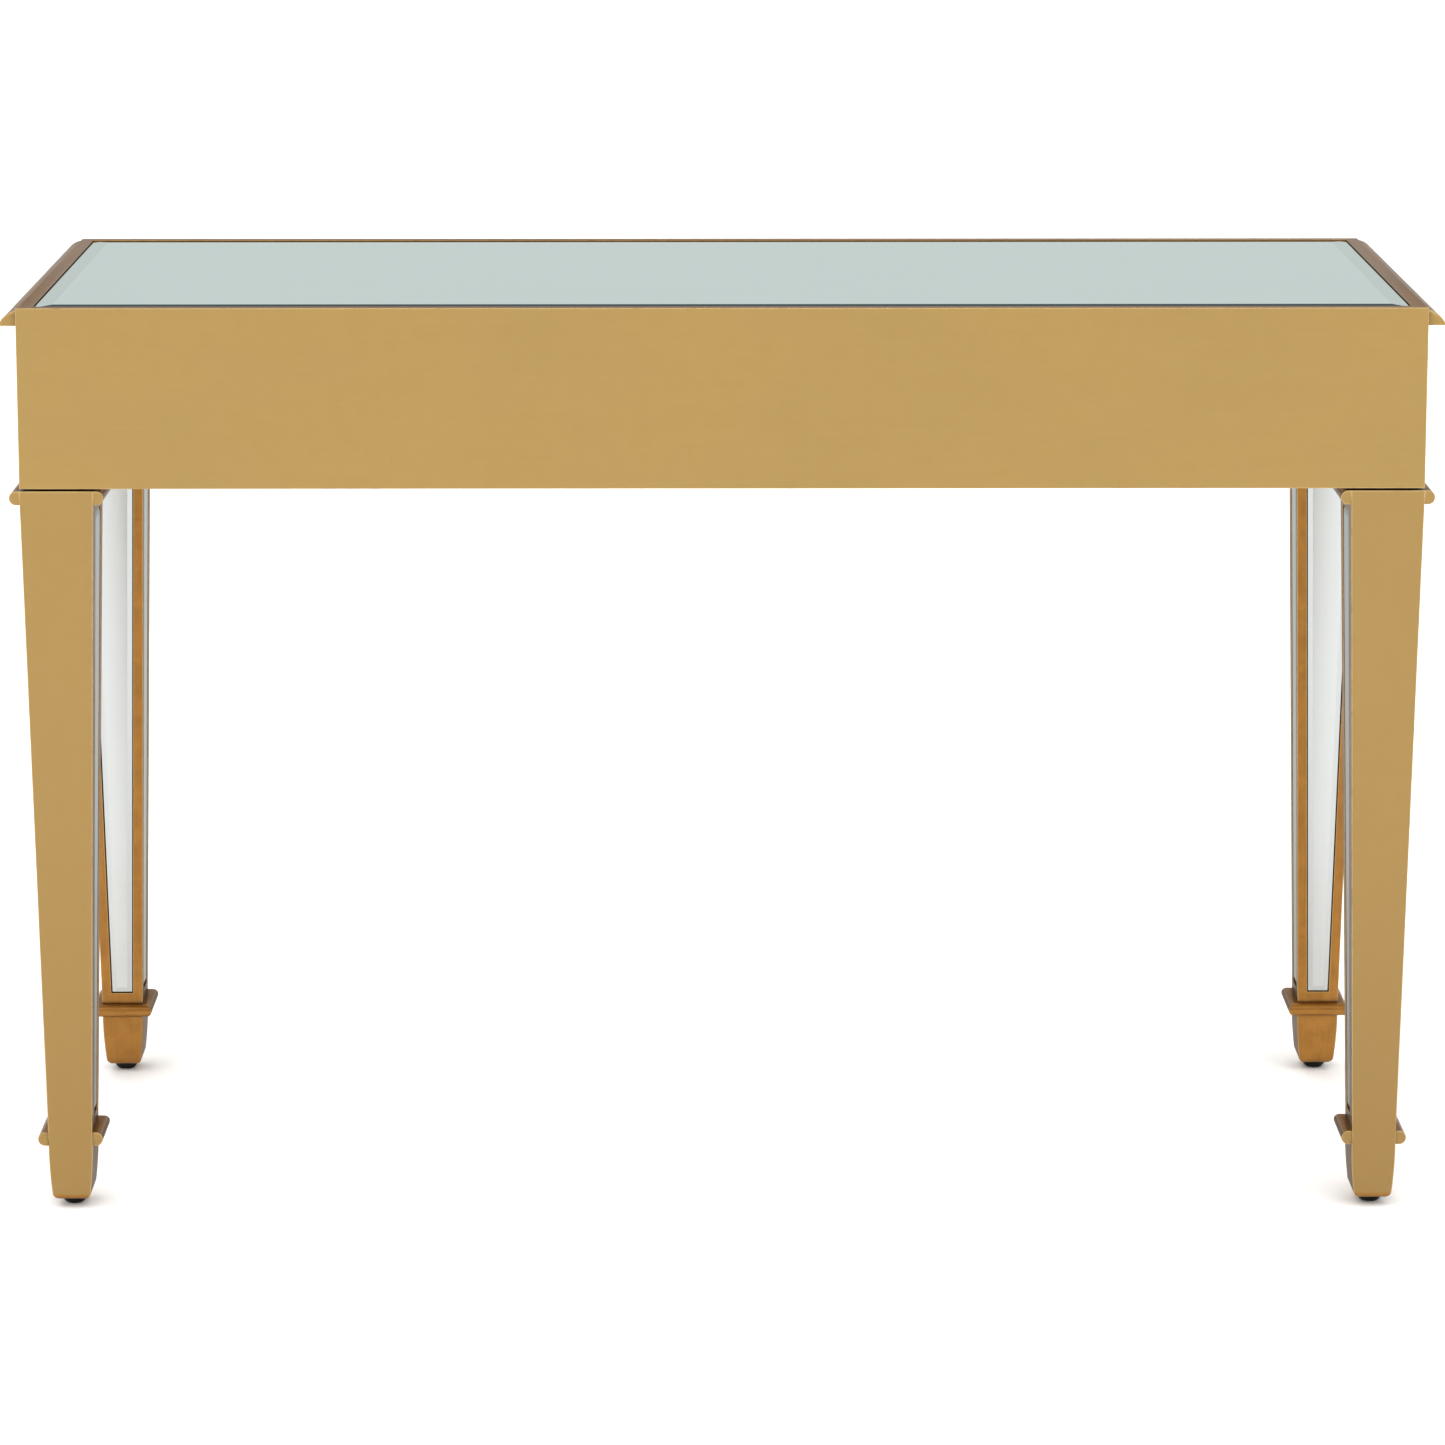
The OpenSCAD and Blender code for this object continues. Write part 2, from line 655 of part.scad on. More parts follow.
module knob_crystal(side) color("azure") {
    r = knob_d / 2;
    h = knob_out + glass_low - knob_base_h;
    on_drawer(side) translate([0, 0, glass_t + knob_base_h]) rotate_extrude()
        polygon([[0, 0], [0.4 * r, 0], [0.8 * r, 0.25 * h], [r, 0.5 * h],
                 [0.85 * r, 0.8 * h], [0.5 * r, h], [0, h]]);
}

// ---------- The parts ----------

top_mirror();
top_board();
top_moulding_front();
top_moulding_side(left);  // top_moulding_left
top_moulding_side(right);  // top_moulding_right
back_panel();
side_panel(left);  // side_panel_left
side_panel(right);  // side_panel_right
side_mirror(left);  // side_mirror_left
side_mirror(right);  // side_mirror_right
front_rail_top();
front_rail_bottom();
centre_partition();
corner_blocks();
leg_shaft(left, false);  // leg_shaft_front_left
leg_shaft(right, false);  // leg_shaft_front_right
leg_shaft(left, true);  // leg_shaft_rear_left
leg_shaft(right, true);  // leg_shaft_rear_right
leg_mirrors(left, false);  // leg_mirrors_front_left
leg_mirrors(right, false);  // leg_mirrors_front_right
leg_mirrors(left, true);  // leg_mirrors_rear_left
leg_mirrors(right, true);  // leg_mirrors_rear_right
leg_collar(left, false);  // leg_collar_front_left
leg_collar(right, false);  // leg_collar_front_right
leg_collar(left, true);  // leg_collar_rear_left
leg_collar(right, true);  // leg_collar_rear_right
leg_foot(left, false);  // leg_foot_front_left
leg_foot(right, false);  // leg_foot_front_right
leg_foot(left, true);  // leg_foot_rear_left
leg_foot(right, true);  // leg_foot_rear_right
leg_back_board(left);  // leg_back_board_left
leg_back_board(right);  // leg_back_board_right
leg_bolts();
leg_bolt_inserts();
leg_washers();
floor_glides();
slide_rails();
slide_rail_screws();
ball_cages(left);  // ball_cages_left
ball_cages(right);  // ball_cages_right
drawer_front(left);  // drawer_front_left
drawer_front(right);  // drawer_front_right
drawer_mirror(left);  // drawer_mirror_left
drawer_mirror(right);  // drawer_mirror_right
drawer_side_outer(left);  // drawer_side_outer_left
drawer_side_outer(right);  // drawer_side_outer_right
drawer_side_inner(left);  // drawer_side_inner_left
drawer_side_inner(right);  // drawer_side_inner_right
drawer_back(left);  // drawer_back_left
drawer_back(right);  // drawer_back_right
drawer_bottom(left);  // drawer_bottom_left
drawer_bottom(right);  // drawer_bottom_right
drawer_runners(left);  // drawer_runners_left
drawer_runners(right);  // drawer_runners_right
drawer_screws(left);  // drawer_screws_left
drawer_screws(right);  // drawer_screws_right
knob_crystal(left);  // knob_crystal_left
knob_crystal(right);  // knob_crystal_right
knob_base(left);  // knob_base_left
knob_base(right);  // knob_base_right
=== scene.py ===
import json
import math

import bmesh
import bpy
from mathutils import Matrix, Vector
from mathutils.bvhtree import BVHTree


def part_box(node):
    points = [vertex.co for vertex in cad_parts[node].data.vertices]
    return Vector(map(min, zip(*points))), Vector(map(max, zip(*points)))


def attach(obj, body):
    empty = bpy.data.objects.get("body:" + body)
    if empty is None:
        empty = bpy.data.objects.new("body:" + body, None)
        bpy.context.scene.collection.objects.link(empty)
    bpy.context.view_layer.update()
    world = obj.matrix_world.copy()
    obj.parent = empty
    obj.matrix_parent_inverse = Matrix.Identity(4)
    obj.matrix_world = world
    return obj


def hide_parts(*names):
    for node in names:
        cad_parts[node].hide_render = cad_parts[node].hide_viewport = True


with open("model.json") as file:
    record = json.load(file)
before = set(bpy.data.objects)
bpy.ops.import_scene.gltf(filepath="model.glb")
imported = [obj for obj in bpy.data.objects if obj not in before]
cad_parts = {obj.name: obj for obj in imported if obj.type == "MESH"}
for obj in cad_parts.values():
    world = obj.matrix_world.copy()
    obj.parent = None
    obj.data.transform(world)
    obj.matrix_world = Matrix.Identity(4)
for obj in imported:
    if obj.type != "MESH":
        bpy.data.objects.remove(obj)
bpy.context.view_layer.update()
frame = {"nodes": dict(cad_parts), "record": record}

MM = 0.001
NODES = frame["nodes"]
RECORD = frame["record"]
BODY_OF = {node: body for body, nodes in RECORD["behaviour"]["bodies"].items() for node in nodes}
SIDES = ("left", "right")
LEGS = ("front_left", "front_right", "rear_left", "rear_right")

BACK_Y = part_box("back_panel")[1].y
APRON_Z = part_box("back_panel")[0].z        # the apron's lower edge
LEG_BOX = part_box("leg_shaft_front_right")
LEG_X = (LEG_BOX[0].x + LEG_BOX[1].x) / 2  # the middle of a leg, from the middle of the table


# ---------- Writing node trees ----------

class Tree:
    """A node tree that is written one call to a node."""

    def __init__(self, tree):
        self.tree = tree
        tree.nodes.clear()

    def add(self, kind, inputs=None, **settings):
        """A node with these settings; an input is given a value or another node's output."""
        made = self.tree.nodes.new(kind)
        for name, value in settings.items():
            setattr(made, name, value)
        for name, value in (inputs or {}).items():
            if isinstance(value, bpy.types.NodeSocket):
                self.tree.links.new(value, made.inputs[name])
            else:
                made.inputs[name].default_value = value
        return made

    def math(self, operation, a, b=0.0):
        return self.add("ShaderNodeMath", {0: a, 1: b}, operation=operation).outputs[0]

    def times(self, a, b):
        return self.math("MULTIPLY", a, b)

    def mix(self, share, a, b):
        """Colour a turned into colour b by share."""
        made = self.add("ShaderNodeMix", data_type="RGBA")
        for socket, value in ((made.inputs[0], share), (made.inputs[6], a), (made.inputs[7], b)):
            if isinstance(value, bpy.types.NodeSocket):
                self.tree.links.new(value, socket)
            else:
                socket.default_value = value
        return made.outputs[2]

    def span(self, value, low, high, to_low=0.0, to_high=1.0):
        """value carried from the range low to high into the range to_low to to_high, and held there."""
        return self.add("ShaderNodeMapRange", {0: value, 1: low, 2: high, 3: to_low, 4: to_high},
                        interpolation_type="SMOOTHSTEP").outputs[0]

    def between(self, value, start, full, fading, end):
        """1 while value is between full and fading, 0 before start and past end."""
        return self.times(self.span(value, start, full), self.span(value, fading, end, 1.0, 0.0))

    def noise(self, coords, scale, detail, roughness, distortion=0.0):
        """Soft noise about 0.5, with scale cells to the metre."""
        return self.add("ShaderNodeTexNoise",
                        {"Vector": coords, "Scale": scale, "Detail": detail,
                         "Roughness": roughness, "Distortion": distortion}).outputs[0]

    def stretched(self, coords, scale):
        """Coordinates scaled differently along X, Y and Z, so that a pattern runs along one of them."""
        return self.add("ShaderNodeMapping", {"Vector": coords, "Scale": scale}).outputs[0]


def rgb(red, green, blue):
    """A screen colour in 0 to 255 steps as the renderer's linear colour, by the sRGB curve."""
    def linear(step):
        level = step / 255
        return level / 12.92 if level <= 0.04045 else ((level + 0.055) / 1.055) ** 2.4
    return (linear(red), linear(green), linear(blue), 1.0)


def dimmed(colour, share):
    """A colour made darker, or lighter past 1."""
    return tuple(share * level for level in colour[:3]) + (1.0,)


def surface(name):
    """A new material, its tree, and its shader already on the output."""
    material = bpy.data.materials.new(name)
    material.use_nodes = True
    tree = Tree(material.node_tree)
    shader = tree.add("ShaderNodeBsdfPrincipled")
    tree.add("ShaderNodeOutputMaterial", {"Surface": shader.outputs[0]})
    return material, tree, shader


def place(tree):
    """Coordinates in metres in the table's own frame."""
    return tree.add("ShaderNodeTexCoord").outputs["Object"]


def parts_of(tree, vector):
    """The X, Y and Z of a vector."""
    return tree.add("ShaderNodeSeparateXYZ", {0: vector}).outputs


def facing(tree):
    """The surface's own direction, before any bump."""
    return tree.add("ShaderNodeNewGeometry").outputs["Normal"]


def openness(tree, reach):
    """1 on an open surface, less in a corner that has other faces within reach."""
    return tree.add("ShaderNodeAmbientOcclusion", {"Distance": reach}, samples=6).outputs["AO"]


def roughened(tree, shader, height, strength, depth):
    """Bumps on the surface, depth metres high at full strength."""
    bump = tree.add("ShaderNodeBump", {"Strength": strength, "Distance": depth, "Height": height})
    tree.tree.links.new(bump.outputs[0], shader.inputs["Normal"])


# ---------- Finishes ----------

# How a pattern is scaled along each axis, to draw it out into streaks along one of them
GRAIN = {"x": (0.02, 1.0, 1.0), "y": (1.0, 0.02, 1.0), "z": (1.0, 1.0, 0.02)}

LEAF = rgb(146, 96, 27)
LEAF_BRIGHT = rgb(161, 109, 37)
LEAF_STREAK = rgb(169, 119, 45)
LEAF_WORN = rgb(124, 77, 23)
LEAF_SHADED = rgb(58, 46, 34)
# the back's colours, paler than the leaf's: a painted sheen of the light that falls squarely on the back
BACK_SHEEN = rgb(154, 123, 63)
BACK_SHEEN_CLOUD = rgb(151, 121, 64)
BACK_SHEEN_MOTTLE = rgb(147, 113, 54)
BACK_SHEEN_STREAK = rgb(163, 133, 74)
BACK_LOWER_DARK = rgb(134, 101, 50)
BACK_FLECK = rgb(100, 70, 34)
CORNER_SHADE = rgb(30, 18, 9)
EDGE_HIGHLIGHT = rgb(240, 208, 150)
EDGE_BROWN = rgb(126, 78, 34)
GOLD_AT_A_SLANT = (0.5, 0.44, 0.4, 1.0)    # what gold gives back at a slanting view
CORNER_SHADE_REACH = 5 * MM                      # how far out of a corner the painted shade reaches
EDGE_HIGHLIGHT_AND_RUB_R = 1.1 * MM                        # how far from an edge the painted highlight and the rubbed gold reach


def knee_shade_mask(tree, coords, normal):
    """1 on the faces of the legs that look sideways at the knee space, 0 elsewhere: where a painted shade
    goes.
    """
    sideways = tree.span(tree.math("ABSOLUTE", parts_of(tree, normal)[0]), 0.7, 0.9)
    x, _, z = parts_of(tree, coords)
    within = tree.span(tree.math("ABSOLUTE", x), LEG_X - 2 * MM, LEG_X + 2 * MM, 1.0, 0.0)
    below = tree.span(z, APRON_Z - 4 * MM, APRON_Z - 2 * MM, 1.0, 0.0)
    return tree.times(tree.times(sideways, within), below)


def leaf_colour(tree, streaks, clouds, mottle, inner):
    """Gold leaf paint with brown rubbed through it, and a painted shade where it faces the knee space."""
    leaf = tree.mix(tree.span(mottle, 0.35, 0.68), LEAF, LEAF_BRIGHT)
    leaf = tree.mix(tree.span(streaks, 0.35, 0.75, 0.0, 0.55), leaf, LEAF_STREAK)
    leaf = tree.mix(tree.span(clouds, 0.45, 0.75, 0.0, 0.35), leaf, LEAF_WORN)
    return tree.mix(tree.times(inner, 0.85), leaf, LEAF_SHADED)


def back_colour_with_sheen(tree, streaks, clouds, mottle, coords):
    """One flat coat on the back, painted paler than the leaf as a painted sheen, with a few dark flecks
    in it, darker on the legs than on the apron and darker again towards the feet.
    """
    z = parts_of(tree, coords)[2]
    coat = tree.mix(tree.span(clouds, 0.3, 0.7), BACK_SHEEN, BACK_SHEEN_CLOUD)
    coat = tree.mix(tree.span(mottle, 0.4, 0.7, 0.0, 0.2), coat, BACK_SHEEN_MOTTLE)
    coat = tree.mix(tree.span(streaks, 0.35, 0.75, 0.0, 0.25), coat, BACK_SHEEN_STREAK)
    # darker on the legs than on the apron, and darker again towards the feet
    coat = tree.mix(tree.span(z, APRON_Z - 5 * MM, APRON_Z - 3 * MM, 0.25, 0.0), coat, BACK_LOWER_DARK)
    coat = tree.mix(tree.span(z, 0.0, 0.8 * APRON_Z, 0.45, 0.0), coat, BACK_LOWER_DARK)
    fleck = tree.noise(coords, 300, 2, 0.5)
    return tree.mix(tree.span(fleck, 0.79, 0.82, 0.0, 0.5), coat, BACK_FLECK)


def highlit_and_worn_edges(tree, colour, corner, mottle, normal):
    """Edges with a painted highlight along them, kept out of the corners, and in places rubbed through to
    the brown.
    """
    rounded = tree.add("ShaderNodeBevel", {"Radius": EDGE_HIGHLIGHT_AND_RUB_R}, samples=4).outputs[0]
    turn = tree.add("ShaderNodeVectorMath", {0: rounded, 1: normal}, operation="DOT_PRODUCT")
    edge = tree.span(turn.outputs["Value"], 0.93, 0.995, 1.0, 0.0)
    # a painted highlight along the edges, as eased edges catch the light
    lit = tree.times(edge, tree.span(corner, 0, 1, 0.55, 0.0))
    colour = tree.mix(lit, colour, EDGE_HIGHLIGHT)
    rubbed = tree.times(edge, tree.span(mottle, 0.54, 0.68, 0.0, 0.6))
    return tree.mix(rubbed, colour, EDGE_BROWN)


def gilded(name, along):
    """Brushed gold over brown, bright on the show faces; on the back a flatter coat with less metal,
    painted paler as a painted sheen of the light that falls squarely on it.
    """
    material, tree, shader = surface(name)
    coords, normal = place(tree), facing(tree)
    links = tree.tree.links
    streaks = tree.noise(tree.stretched(coords, GRAIN[along]), 420, 4, 0.62)
    clouds = tree.noise(coords, 5, 3, 0.5, 0.3)
    mottle = tree.noise(coords, 70, 4, 0.6)

    # the legs' faces towards the knee space get a painted shade
    inner = knee_shade_mask(tree, coords, normal)
    # the back faces: a flatter finish with less metal, and a paler colour that is a painted sheen
    back_finish_and_sheen = tree.span(parts_of(tree, coords)[1], BACK_Y - 0.5 * MM, BACK_Y - 0.2 * MM)
    # a painted shade in the corners, where other faces come within reach
    corner = tree.span(openness(tree, CORNER_SHADE_REACH), 0.25, 0.8, 1.0, 0.0)
    colour = tree.mix(back_finish_and_sheen, leaf_colour(tree, streaks, clouds, mottle, inner),
                      back_colour_with_sheen(tree, streaks, clouds, mottle, coords))
    colour = tree.mix(tree.times(corner, 0.96), colour, CORNER_SHADE)
    colour = highlit_and_worn_edges(tree, colour, corner, mottle, normal)
    links.new(colour, shader.inputs["Base Color"])

    # less metal on the back, and little in the corners to go with their painted shade
    metal = tree.times(tree.span(back_finish_and_sheen, 0, 1, 0.82, 0.35), tree.span(corner, 0, 1, 1.0, 0.1))
    links.new(metal, shader.inputs["Metallic"])
    brushed = tree.span(streaks, 0.3, 0.7, 0.30, 0.42)
    flatter = tree.span(back_finish_and_sheen, 0, 1, 0.0, 0.12)
    links.new(tree.math("ADD", brushed, flatter), shader.inputs["Roughness"])
    shader.inputs["Specular Tint"].default_value = GOLD_AT_A_SLANT
    # less coat, so less sheen, on those faces, as part of their painted shade
    links.new(tree.span(inner, 0, 1, 0.5, 0.04), shader.inputs["Coat Weight"])
    shader.inputs["Coat Roughness"].default_value = 0.28
    roughened(tree, shader, tree.math("ADD", streaks, tree.times(mottle, 0.6)), 0.16, 0.12 * MM)
    return material


# the colour of the painted shade on glass beside a recess's wall
RECESS_SHADE = rgb(24, 30, 28)
RECESS_SHADE_REACH = 2 * MM  # how near a recess's wall the painted shade darkens the glass
CLEAN_ROUGH = 0.015        # a mirror's roughness where it is clean, and where dust lies on it
DUSTY_ROUGH = 0.035
WOOD_PALE = rgb(205, 170, 122)
WOOD_RING = rgb(176, 134, 86)
WOOD_PORE = rgb(134, 96, 58)
RING_STRETCH = 0.06        # how growth rings are scaled along the grain
CLEAR = rgb(246, 250, 252)
LEAD_GLASS_IOR = 1.54


def squareness(tree, normal):
    """How squarely a face looks along an axis: 1 on a plate's face, a little less on its bevels."""
    straight = 0.0
    for way in parts_of(tree, normal):
        straight = tree.math("MAXIMUM", straight, tree.math("ABSOLUTE", way))
    return straight


def silvered(name, tint, bevel_shade, back_haze=0.0, slant=1.0):
    """Mirror glass, with a painted shade where its face meets a recess's wall.

    bevel_shade greys a plate's bevels, back_haze roughens what looks straight back,
    and slant is what the plate gives back at a slant."""
    material, tree, shader = surface(name)
    coords, normal = place(tree), facing(tree)
    links = tree.tree.links
    colour = tree.mix(tree.noise(coords, 6, 2, 0.5), tint, dimmed(tint, 0.97))
    flat = tree.span(squareness(tree, normal), 0.9980, 0.9996)
    colour = tree.mix(flat, dimmed(tint, bevel_shade), colour)
    # a painted shade on the glass beside a recess's wall
    recess_shade = tree.span(openness(tree, RECESS_SHADE_REACH), 0.3, 0.7, 1.0, 0.0)
    links.new(tree.mix(recess_shade, colour, RECESS_SHADE), shader.inputs["Base Color"])
    shader.inputs["Metallic"].default_value = 1.0
    shader.inputs["Specular Tint"].default_value = (0.97 * slant, slant, 0.97 * slant, 1.0)
    dust = tree.span(tree.noise(coords, 900, 2, 0.5), 0.3, 0.8, CLEAN_ROUGH, DUSTY_ROUGH)
    hazy_back = tree.span(parts_of(tree, normal)[1], 0.9, 0.97, 0.0, back_haze)
    links.new(tree.math("ADD", dust, hazy_back), shader.inputs["Roughness"])
    return material


def timber(name, along):
    """Plain planed wood, its grain running along one axis."""
    material, tree, shader = surface(name)
    coords = place(tree)
    links = tree.tree.links
    board = tuple(RING_STRETCH if scale < 1 else 1.0 for scale in GRAIN[along])
    rings = tree.noise(tree.stretched(coords, board), 60, 5, 0.6, 1.2)
    pores = tree.noise(tree.stretched(coords, GRAIN[along]), 1400, 3, 0.6)
    colour = tree.mix(tree.span(rings, 0.35, 0.65), WOOD_PALE, WOOD_RING)
    colour = tree.mix(tree.span(pores, 0.58, 0.75, 0.0, 0.6), colour, WOOD_PORE)
    links.new(colour, shader.inputs["Base Color"])
    links.new(tree.span(pores, 0.3, 0.7, 0.5, 0.68), shader.inputs["Roughness"])
    roughened(tree, shader, pores, 0.25, 0.1 * MM)
    return material


def plated(name, light, dark, rough):
    """Plated or polished metal with fine drawn lines and a little staining."""
    material, tree, shader = surface(name)
    coords = place(tree)
    links = tree.tree.links
    lines = tree.noise(tree.stretched(coords, GRAIN["y"]), 2200, 2, 0.5)
    stain = tree.noise(coords, 130, 4, 0.6)
    links.new(tree.mix(tree.span(stain, 0.4, 0.7), light, dark), shader.inputs["Base Color"])
    shader.inputs["Metallic"].default_value = 1.0
    links.new(tree.span(lines, 0.3, 0.7, rough, rough + 0.14), shader.inputs["Roughness"])
    return material


def moulded(name, colour, rough, shine):
    """Dull black plastic or fibre with a fine pitted skin."""
    material, tree, shader = surface(name)
    links = tree.tree.links
    pits = tree.noise(place(tree), 1500, 3, 0.6)
    links.new(tree.mix(pits, colour, dimmed(colour, 1.8)), shader.inputs["Base Color"])
    links.new(tree.span(pits, 0.3, 0.7, rough, rough + 0.15), shader.inputs["Roughness"])
    shader.inputs["Specular IOR Level"].default_value = shine
    roughened(tree, shader, pits, 0.3, 0.08 * MM)
    return material


def cut_crystal(name):
    """Clear lead crystal."""
    material, tree, shader = surface(name)
    smear = tree.noise(place(tree), 300, 2, 0.5)
    tree.tree.links.new(tree.span(smear, 0.4, 0.8, 0.0, 0.04), shader.inputs["Roughness"])
    shader.inputs["Base Color"].default_value = CLEAR
    shader.inputs["Transmission Weight"].default_value = 1.0
    shader.inputs["IOR"].default_value = LEAD_GLASS_IOR
    return material


GOLD = {axis: gilded("gold_along_" + axis, axis) for axis in "xyz"}
WOOD = {axis: timber("timber_along_" + axis, axis) for axis in "xy"}
TOP_MIRROR = silvered("top_mirror_silver", rgb(232, 240, 238), bevel_shade=0.8)
PANEL_MIRROR = silvered("panel_mirror_silver", rgb(200, 205, 203), bevel_shade=0.78)
LEG_MIRROR = silvered("leg_mirror_silver", rgb(200, 202, 201), bevel_shade=0.84,
                      back_haze=0.16, slant=0.3)
ZINC = plated("zinc_plate", rgb(196, 196, 192), rgb(168, 168, 166), rough=0.25)
BRASS = plated("polished_brass", rgb(222, 178, 98), rgb(190, 142, 70), rough=0.16)
BLACK_PLASTIC = moulded("black_glide_plastic", rgb(9, 8, 8), rough=0.5, shine=0.2)
BLACK_FIBRE = moulded("black_washer_fibre", rgb(22, 20, 18), rough=0.7, shine=0.2)
CRYSTAL = cut_crystal("cut_crystal")


# ---------- Pieces made from the frame ----------

def paint(thing, material):
    """Gives the whole of an object one material."""
    thing.data.materials.clear()
    thing.data.materials.append(material)


def piece_from(mesh, name):
    made = bpy.data.objects.new(name, mesh)
    bpy.context.scene.collection.objects.link(made)
    return made


def plain_mesh(thing):
    """Turns an object with modifiers into one whose mesh is their result."""
    depsgraph = bpy.context.evaluated_depsgraph_get()
    mesh = bpy.data.meshes.new_from_object(thing.evaluated_get(depsgraph))
    thing.modifiers.clear()
    thing.data = mesh
    return thing


def stands_for(piece, node):
    """A finished piece takes over from its CAD node, with that node's body."""
    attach(piece, BODY_OF[node])
    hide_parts(node)


def face_finder(node):
    """The faces of a CAD node, ready to be searched for the one nearest to a point."""
    mesh = NODES[node].data
    return BVHTree.FromPolygons([vertex.co for vertex in mesh.vertices],
                                [tuple(polygon.vertices) for polygon in mesh.polygons])


FACES_OF = {node: face_finder(node) for node in NODES}
BOX_OF = {node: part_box(node) for node in NODES}
STEP_OVER = 0.6 * MM                  # how far past an edge a neighbour's face is looked for
FLUSH = 0.03 * MM                     # faces closer than this are level with each other
ALIGNED = 0.999                       # and their directions agree at least this well
WELD = 0.002 * MM                     # corners closer than this are the same corner
ONE_PLANE = math.radians(0.4)         # triangles that turn less than this are one face
SHARP = math.radians(38)              # an edge that turns more than this is a real edge
BEVEL_STEPS = 3
FLAT_FACE_PULL = 80                   # how strongly the large faces keep their flat shading


def runs_on(node, point, normal):
    """Whether a neighbour on the same body carries a face on through this point."""
    for other, (low, high) in BOX_OF.items():
        if other == node or BODY_OF[other] != BODY_OF[node]:
            continue
        if all(low[i] - FLUSH < point[i] < high[i] + FLUSH for i in range(3)):
            _, direction, _, gap = FACES_OF[other].find_nearest(point)
            if gap < FLUSH and direction.dot(normal) > ALIGNED:
                return True
    return False


def eased(node, suffix, material, radius):
    """A copy of a CAD part with its sharp edges eased to a small radius, as sanding leaves them.

    An edge where a glued neighbour runs on flush is filled and painted over, so it stays sharp."""
    mesh = NODES[node].data.copy()
    mesh.name = node + "_" + suffix
    shape = bmesh.new()
    shape.from_mesh(mesh)
    bmesh.ops.remove_doubles(shape, verts=shape.verts, dist=WELD)
    bmesh.ops.dissolve_limit(shape, angle_limit=ONE_PLANE, verts=shape.verts, edges=shape.edges)
    weight = shape.edges.layers.float.new("bevel_weight_edge")
    for edge in shape.edges:
        if edge.calc_face_angle(0.0) < SHARP:
            continue
        edge.smooth = False
        middle = (edge.verts[0].co + edge.verts[1].co) / 2
        one, two = (face.normal for face in edge.link_faces)
        past_one = (two - one * two.dot(one)).normalized() * STEP_OVER
        past_two = (one - two * one.dot(two)).normalized() * STEP_OVER
        if not (runs_on(node, middle + past_one, one) or runs_on(node, middle + past_two, two)):
            edge[weight] = 1.0
            edge.smooth = True
    for face in shape.faces:
        face.smooth = True
    shape.to_mesh(mesh)
    shape.free()
    piece = piece_from(mesh, node + "_" + suffix)
    bevel = piece.modifiers.new("eased edges", "BEVEL")
    bevel.width = radius
    bevel.segments = BEVEL_STEPS
    bevel.limit_method = "WEIGHT"
    bevel.use_clamp_overlap = False
    shading = piece.modifiers.new("flat faces stay flat", "WEIGHTED_NORMAL")
    shading.mode = "FACE_AREA"
    shading.weight = FLAT_FACE_PULL
    shading.keep_sharp = True
    plain_mesh(piece)
    paint(piece, material)
    stands_for(piece, node)


def shells(node):
    """The separate solids of a CAD node, each as a list of its points."""
    shape = bmesh.new()
    shape.from_mesh(NODES[node].data)
    bmesh.ops.remove_doubles(shape, verts=shape.verts, dist=WELD)
    left, found = set(shape.verts), []
    while left:
        reached, waiting = set(), [left.pop()]
        while waiting:
            point = waiting.pop()
            reached.add(point)
            for link in point.link_edges:
                other = link.other_vert(point)
                if other in left:
                    left.discard(other)
                    waiting.append(other)
        found.append([point.co.copy() for point in reached])
    shape.free()
    return found


# ---------- Woodwork ----------

# How far sharp edges are eased
FOOT_EDGE = 0.9 * MM
FINE_EDGE = 0.5 * MM
CRISP_EDGE = 0.25 * MM     # on the boards across the back, whose edges glued neighbours meet

for node in ("top_moulding_front", "front_rail_top", "front_rail_bottom"):
    eased(node, "gilded", GOLD["x"], FINE_EDGE)
eased("back_panel", "gilded", GOLD["x"], CRISP_EDGE)
for side in SIDES:
    for node in ("top_moulding_", "side_panel_"):
        eased(node + side, "gilded", GOLD["y"], FINE_EDGE)
    eased("leg_back_board_" + side, "gilded", GOLD["z"], CRISP_EDGE)
    eased("drawer_front_" + side, "gilded", GOLD["x"], FINE_EDGE)
eased("centre_partition", "gilded", GOLD["z"], FINE_EDGE)
for leg in LEGS:
    eased("leg_shaft_" + leg, "gilded", GOLD["z"], FINE_EDGE)
    eased("leg_collar_" + leg, "gilded", GOLD["x"], FINE_EDGE)
    eased("leg_foot_" + leg, "gilded", GOLD["z"], FOOT_EDGE)

for side in SIDES:
    for part in ("drawer_side_outer_", "drawer_side_inner_"):
        eased(part + side, "planed", WOOD["y"], FINE_EDGE)
    for part in ("drawer_back_", "drawer_bottom_"):
        eased(part + side, "planed", WOOD["x"], FINE_EDGE)
eased("top_board", "planed", WOOD["x"], FINE_EDGE)
eased("corner_blocks", "planed", WOOD["x"], FINE_EDGE)


# ---------- Glass and hardware that keep their CAD shape ----------

paint(NODES["top_mirror"], TOP_MIRROR)
for side in SIDES:
    paint(NODES["side_mirror_" + side], PANEL_MIRROR)
    paint(NODES["drawer_mirror_" + side], PANEL_MIRROR)
    paint(NODES["drawer_runners_" + side], ZINC)
    paint(NODES["ball_cages_" + side], ZINC)
    paint(NODES["knob_base_" + side], BRASS)
for leg in LEGS:
    paint(NODES["leg_mirrors_" + leg], LEG_MIRROR)
paint(NODES["slide_rails"], ZINC)
paint(NODES["leg_bolts"], ZINC)
paint(NODES["leg_bolt_inserts"], BRASS)
paint(NODES["leg_washers"], BLACK_FIBRE)
paint(NODES["floor_glides"], BLACK_PLASTIC)


# ---------- Cut crystal knobs ----------

FACETS = 12
# The rings of corners from the base out, as shares of the knob's radius and of its height
KNOB_RINGS = ((0.40, 0.0), (0.80, 0.22), (1.0, 0.46), (1.0, 0.54), (0.84, 0.80), (0.50, 1.0))


